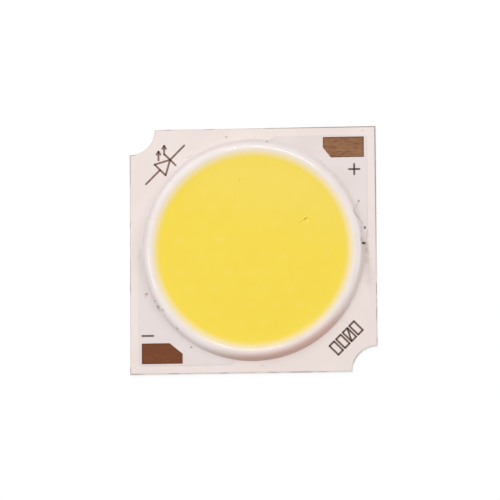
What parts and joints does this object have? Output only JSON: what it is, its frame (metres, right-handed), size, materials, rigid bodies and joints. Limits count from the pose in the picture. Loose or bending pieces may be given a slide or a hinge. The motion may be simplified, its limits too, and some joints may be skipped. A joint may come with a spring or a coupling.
{
  "type": "chip-on-board led",
  "caption": "Square board with a round yellow phosphor area inside a white silicone dam, copper solder pads in two corners and screw notches in the other two.",
  "frame": {"origin": "centre of the base's underside", "axes": "+Z out of the light-emitting face; +X and +Y along the board's edges, with the anode pad in the +X +Y corner and the cathode pad in the -X -Y corner"},
  "size_m": [0.019, 0.019, 0.0018],
  "materials": {
    "base_aluminium": "satin",
    "laminate": "matte",
    "copper": "matte",
    "white_mask": "satin",
    "dam_silicone": "gloss",
    "phosphor_silicone": "satin",
    "sapphire": "gloss",
    "die_adhesive": "satin",
    "gold": "polished"
  },
  "bodies": {
    "root": {"base_plate": "base_aluminium", "insulating_sheet": "laminate", "anode_copper": "copper", "cathode_copper": "copper", "solder_mask": "white_mask", "dam": "dam_silicone", "phosphor_fill": "phosphor_silicone", "dies_string_1": "sapphire", "dies_string_2": "sapphire", "dies_string_3": "sapphire", "dies_string_4": "sapphire", "dies_string_5": "sapphire", "die_glue_string_1": "die_adhesive", "die_glue_string_2": "die_adhesive", "die_glue_string_3": "die_adhesive", "die_glue_string_4": "die_adhesive", "die_glue_string_5": "die_adhesive", "bond_wires_string_1": "gold", "bond_wires_string_2": "gold", "bond_wires_string_3": "gold", "bond_wires_string_4": "gold", "bond_wires_string_5": "gold"}
  },
  "joints": []
}
